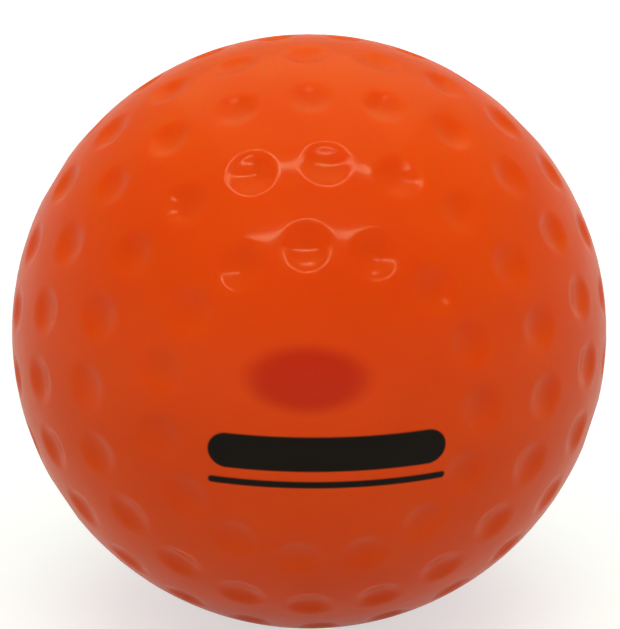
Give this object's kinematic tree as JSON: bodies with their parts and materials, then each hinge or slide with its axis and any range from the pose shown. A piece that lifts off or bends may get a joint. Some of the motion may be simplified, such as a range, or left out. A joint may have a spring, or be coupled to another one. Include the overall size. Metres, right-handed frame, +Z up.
{
  "type": "field hockey ball",
  "caption": "Solid moulded plastic ball with rings of shallow round dimples and a smooth cap at each pole.",
  "frame": {"origin": "centre of the ball", "axes": "+Z up as pictured, -Y out of the front smooth cap, along the axis that the rings of dimples go round, +X to the right as seen from the front"},
  "size_m": [0.073, 0.073, 0.073],
  "materials": {
    "skin": "glossy orange moulded skin, with a small black print on the front cap"
  },
  "bodies": {
    "root": {"ball": "skin"}
  },
  "joints": []
}
